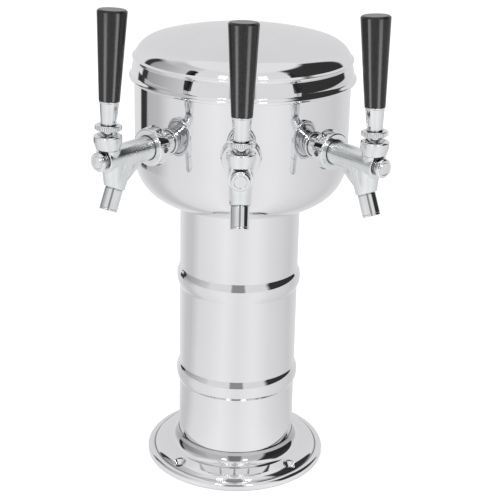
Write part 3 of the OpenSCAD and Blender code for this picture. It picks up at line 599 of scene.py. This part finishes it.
# The shanks: chrome-plated tubes through the drum's wall with a wide threaded head for the nut.
# Inside the drum each has a saddle washer, a brass lock nut and a barbed tailpiece under its nut.
shank_bore, shank_tail, head_back, head_front, head_r = 3.2, 70, 102.5, 106.5, 13
brass = metal("brass", (0.62, 0.43, 0.18), (0.74, 0.55, 0.26), 0.14, 0.28,
              cloud=60, grain=500, lift=0.000008)
for side in SIDES:
    shank = turned(f"shank_{side}",
                   eased([(shank_bore, shank_tail), (shank_r, shank_tail, 0.6),
                          (shank_r, head_back, 0.5), (head_r, head_back, 0.8),
                          (head_r, head_front, 0.4), (shank_bore, head_front)]),
                   [along_shank(side)], steps=96)
    fit(shank, bright_chrome, "tower", f"shank_{side}")
fit(from_cad("saddle_washers"), plain_steel, "tower", "saddle_washers")
fit(from_cad("shank_lock_nuts"), brass, "tower", "shank_lock_nuts")
fit(from_cad("tailpiece_nuts"), brass, "tower", "tailpiece_nuts")
fit(from_cad("tailpieces"), bright_chrome, "tower", "tailpieces")
fit(from_cad("tail_washers"), rubber, "tower", "tail_washers")


# The beer lines: clear-white vinyl tube, pushed over barbs at both ends and held by pinched
# steel bands. Each ends in a barbed coupler in the column's foot.
hose = dull_stuff("hose", (0.66, 0.70, 0.72), (0.76, 0.80, 0.82), 0.32, 60, 0.00002)
fit(from_cad("hose_clamps"), plain_steel, "tower", "hose_clamps")
fit(from_cad("line_couplers"), bright_chrome, "tower", "line_couplers")
for side in SIDES:
    fit(from_cad(f"beer_line_{side}"), hose, "tower", f"beer_line_{side}")


# The coupling nuts: round chrome-plated nuts with six pockets for a pin spanner. Each draws its
# faucet against the shank's head over a rubber washer.
nut_back, nut_front, nut_step, nut_bore, nut_lip = 102.2, 112.5, 110.5, 13.05, 9.4
pocket_r, pocket_floor, pocket_at = 2.2, 13.3, 107.4
for side in SIDES:
    nut = turned(f"coupling_nut_{side}",
                 eased([(nut_bore, nut_back, 0.3), (16, nut_back, 1.2), (14.6, nut_front, 1.3),
                        (nut_lip, nut_front, 0.5), (nut_lip, nut_step), (nut_bore, nut_step)]),
                 [along_shank(side)], steps=120)
    outwards = Matrix.Translation((0, 0, pocket_at)) @ Matrix.Rotation(math.pi / 2, 4, "Y")
    pockets = [along_shank(side) @ Matrix.Rotation(math.radians(60 * i + 30), 4, "Z") @ outwards
               for i in range(6)]
    cut(nut, drill(pocket_r, pocket_floor, 20, pockets))
    fit(nut, bright_chrome, "tower", f"coupling_nut_{side}")
fit(from_cad("coupling_washers"), rubber, "tower", "coupling_washers")


# The faucet bodies: cast brass, chrome plated and only lightly polished, with a barrel, a collar
# for the nut, a boss for the bonnet and a leg that holds the spout. Casting rounds every edge.
cast_chrome = metal("cast_chrome", (0.84, 0.865, 0.87), (0.91, 0.925, 0.93), 0.17, 0.30,
                    cloud=70, grain=900, lift=0.000012, shade_reach=0.002, darkest_shade=0.3)
for side in SIDES:
    casting = from_cad(f"faucet_body_{side}")
    skin = casting.modifiers.new("skin", "REMESH")
    skin.mode, skin.voxel_size, skin.use_smooth_shade = "VOXEL", 0.00045, True
    ease = casting.modifiers.new("ease", "SMOOTH")
    ease.factor, ease.iterations = 0.5, 8
    plain_mesh(casting)
    shaded(casting.data, 60)
    fit(casting, cast_chrome, "tower", f"faucet_body_{side}")


# The spouts: polished tubes pressed into the bodies' legs and tilted forwards, with a fine groove
# under the leg and another above the thick rolled mouth.
spout_out, spout_tilt, spout_r, spout_bore = 138, -23.2, 7, 5
spout_top, leg_end, mouth = -19.9, -25.9, -43.6
for side in SIDES:
    at_spout = (faucet_place(side) @ Matrix.Translation((spout_out, 0, shank_high))
                @ Matrix.Rotation(math.radians(spout_tilt), 4, "Y"))
    spout = turned(f"spout_{side}",
                   eased([(spout_bore, mouth, 0.5), (6.7, mouth, 0.4), (spout_r, -43.1, 0.3),
                          (spout_r, -42.1, 0.1), (6.7, -41.9, 0.1), (6.7, -41.6, 0.1),
                          (spout_r, -41.4, 0.1), (spout_r, -26.9, 0.1), (6.75, -26.7),
                          (6.75, leg_end), (spout_r, leg_end), (spout_r, spout_top),
                          (spout_bore, spout_top)]), [at_spout], steps=96)
    fit(spout, bright_chrome, "tower", f"spout_{side}")


# The bonnets: turned cups, chrome plated, that screw onto the bosses and hold the levers' balls
# down on their plastic washers.
black_plastic = dull_stuff("black_plastic", (0.03, 0.03, 0.03), (0.05, 0.05, 0.05), 0.5, 500,
                           0.00002)
ball_high, lever_out = 320.0, 154.0
thread_r, bonnet_r, bonnet_low, bonnet_top = 8.05, 10.8, -3.6, 7.4
for side in SIDES:
    over_ball = faucet_place(side) @ Matrix.Translation((lever_out, 0, ball_high))
    bonnet = turned(f"bonnet_{side}",
                    eased([(thread_r, bonnet_low), (9.1, bonnet_low, 0.4), (bonnet_r, 1.9, 5),
                           (bonnet_r, 6.3, 0.7), (9.9, 7.0, 0.4), (8.2, bonnet_top, 0.2),
                           (7.6, bonnet_top, 0.2)]
                          + arc((0, 0), 6.7, 32.5, 10, 8) + [(thread_r, 1.163)]),
                    [over_ball], steps=120)
    fit(bonnet, bright_chrome, "tower", f"bonnet_{side}")
fit(from_cad("ball_washers"), black_plastic, "tower", "ball_washers")


# The front caps: turned knobs, chrome plated, that screw into the barrels' fronts, close them and
# guide the shafts. Each has a flange, a waist and a beaded head with a shallow ring on its face.
cap_bore, cap_back, cap_front = 2.85, 157.6, 166.1
for side in SIDES:
    cap = turned(f"front_cap_{side}",
                 eased([(cap_bore, cap_back), (5.2, cap_back), (5.2, 159.5), (5.6, 159.5, 0.1),
                        (5.6, 160.9, 0.4), (4.3, 160.9, 0.2), (4.3, 162.3, 0.2),
                        (6.9, 162.3, 0.5), (7.4, 163.3, 0.7), (7.4, 164.6, 0.7),
                        (6.4, 165.8, 0.5), (5.0, 165.75, 0.15), (4.7, 165.5, 0.1),
                        (4.4, 165.8, 0.15), (0, cap_front), (0, 164.9), (cap_bore, 164.9)]),
                 [along_shank(side)], steps=96)
    fit(cap, bright_chrome, "tower", f"front_cap_{side}")


# The valve shafts: stainless rods with a slot that the lever's tip works, each with a rubber seat
# washer and the nut that holds it on.
for side in SIDES:
    fit(from_cad(f"shaft_{side}"), plain_steel, f"valve_{side}", f"shaft_{side}")
    fit(from_cad(f"seat_washer_{side}"), rubber, f"valve_{side}", f"seat_washer_{side}")
    fit(from_cad(f"shaft_nut_{side}"), plain_steel, f"valve_{side}",
        f"shaft_nut_{side}")


# The levers: chrome-plated steel, a ball with a tip below it and a threaded post above it, which
# the collar and the handle screw onto. They lean a little forwards.
lever_lean, tip_r, ball_r, neck_r, neck_low, post_r, post_top = -3.8, 2.4, 6.4, 3.4, 6.2, 4.7, 28
collar_low, collar_top, collar_bore = 10.7, 14.7, 4.75


def at_lever(side):
    """Stands an outline on this side's lever, with its ball's middle at 0."""
    return (faucet_place(side) @ Matrix.Translation((lever_out, 0, ball_high))
            @ Matrix.Rotation(math.radians(lever_lean), 4, "Y"))


for side in SIDES:
    lever = turned(f"lever_{side}",
                   arc((0, -12), tip_r, -90, 33.5, 12) + arc((0, 0), ball_r, -71.8, 57.9, 30)
                   + eased([(neck_r, neck_low), (neck_r, collar_low, 0.3), (post_r, collar_low),
                            (post_r, post_top, 0.6), (0, post_top)]),
                   [at_lever(side)], steps=72)
    fit(lever, bright_chrome, f"tap_{side}", f"lever_{side}")


# The lever collars: chrome-plated lock rings under the handles, with a straight knurl of rounded
# ridges round the rim that fingers can grip. One is knurled, then copied to each lever.
ridge_count, ridge_r, ridge_ring, ridge_low, ridge_top = 44, 0.62, 0.0096, 11.2, 14.2
one_ridge = turned("ridge", eased([(0, ridge_low), (ridge_r, ridge_low, 0.3),
                                   (ridge_r, ridge_top, 0.3), (0, ridge_top)]), steps=8)
knurl = bpy.data.node_groups.new("knurl", "GeometryNodeTree")
for label, kind in (("Core", "NodeSocketGeometry"), ("Ridge", "NodeSocketObject"),
                    ("Ridges", "NodeSocketInt"), ("Ring radius", "NodeSocketFloat"),
                    ("Metal", "NodeSocketMaterial")):
    knurl.interface.new_socket(label, in_out="INPUT", socket_type=kind)
knurl.interface.new_socket("Geometry", in_out="OUTPUT", socket_type="NodeSocketGeometry")
nodes, links = knurl.nodes, knurl.links
given, made = nodes.new("NodeGroupInput"), nodes.new("NodeGroupOutput")
ring = nodes.new("GeometryNodeMeshCircle")
links.new(given.outputs["Ridges"], ring.inputs["Vertices"])
links.new(given.outputs["Ring radius"], ring.inputs["Radius"])
ridge_shape = nodes.new("GeometryNodeObjectInfo")
links.new(given.outputs["Ridge"], ridge_shape.inputs["Object"])
round_the_rim = nodes.new("GeometryNodeInstanceOnPoints")
links.new(ring.outputs["Mesh"], round_the_rim.inputs["Points"])
links.new(ridge_shape.outputs["Geometry"], round_the_rim.inputs["Instance"])
whole = nodes.new("GeometryNodeJoinGeometry")
links.new(round_the_rim.outputs["Instances"], whole.inputs[0])
links.new(given.outputs["Core"], whole.inputs[0])
real = nodes.new("GeometryNodeRealizeInstances")
links.new(whole.outputs[0], real.inputs[0])
plated = nodes.new("GeometryNodeSetMaterial")
links.new(real.outputs[0], plated.inputs["Geometry"])
links.new(given.outputs["Metal"], plated.inputs["Material"])
links.new(plated.outputs["Geometry"], made.inputs["Geometry"])
collar = turned("lever_collar",
                eased([(collar_bore, collar_low), (9.3, collar_low, 0.3), (9.75, ridge_low, 0.3),
                       (9.75, ridge_top, 0.3), (9.3, collar_top, 0.3), (collar_bore, collar_top)]),
                steps=144)
rows = collar.modifiers.new("knurl", "NODES")
rows.node_group = knurl
socket = {item.name: item.identifier for item in knurl.interface.items_tree
          if item.in_out == "INPUT"}
rows[socket["Ridge"]], rows[socket["Ridges"]] = one_ridge, ridge_count
rows[socket["Ring radius"]], rows[socket["Metal"]] = ridge_ring, bright_chrome
plain_mesh(collar)
for side in SIDES:
    own = collar.data.copy()
    own.transform(Matrix.Scale(MM, 4) @ at_lever(side) @ Matrix.Scale(1 / MM, 4))
    piece = bpy.data.objects.new(f"lever_collar_{side}", shaded(own))
    scene.collection.objects.link(piece)
    fit(piece, bright_chrome, f"tap_{side}", f"lever_collar_{side}")
for spare in (collar, one_ridge):
    bpy.data.objects.remove(spare)


# The ferrules: turned and polished sleeves under the grips, flared upwards and rolled at the top,
# with a stud that the grip is pressed onto.
ferrule_top, stud_r, stud_top, post_hole_top = 32.7, 4, 42.7, 28.3
for side in SIDES:
    ferrule = turned(f"handle_ferrule_{side}",
                     eased([(collar_bore, collar_top), (6, collar_top, 0.5), (6.1, 18.5, 4),
                            (7.25, 31.1, 2), (7.85, 31.7, 0.3), (7.85, ferrule_top, 0.3),
                            (stud_r, ferrule_top), (stud_r, stud_top), (0, stud_top),
                            (0, post_hole_top), (collar_bore, post_hole_top)]),
                     [at_lever(side)], steps=96)
    fit(ferrule, bright_chrome, f"tap_{side}", f"handle_ferrule_{side}")


# The grips: black moulded plastic, a tapered round bar with a satin skin and a bevelled head. Two
# low lamps that light nothing else draw the soft streaks down their fronts.
grip_bore, grip_bore_top, grip_head = 4.05, 43, 99.4
grip_black = dull_stuff("grip_black", (0.005, 0.005, 0.0055), (0.010, 0.010, 0.011), 0.24, 700,
                        0.000004)
grip_black.node_tree.nodes["Principled BSDF"].inputs["Specular IOR Level"].default_value = 0.42
grips = bpy.data.collections.new("grips")
for side in SIDES:
    grip = turned(f"handle_grip_{side}",
                  eased([(grip_bore, ferrule_top), (7.45, ferrule_top, 0.2), (7.85, 33.1, 0.3),
                         (11.25, 98.2, 0.5), (10.05, grip_head, 0.5), (0, grip_head),
                         (0, grip_bore_top), (grip_bore, grip_bore_top)]),
                  [at_lever(side)], steps=96)
    fit(grip, grip_black, f"tap_{side}", f"handle_grip_{side}")
    grips.objects.link(grip)
for name, place in (("streak_left", (-0.42, -0.46, 0.06)), ("streak_right", (0.36, -0.50, 0.06))):
    lamp = soft_box(name, place, (0, -0.1, 0.36), 0.26, 0.60, 2.6, True)
    lamp.visible_camera = False
    lamp.light_linking.receiver_collection = grips
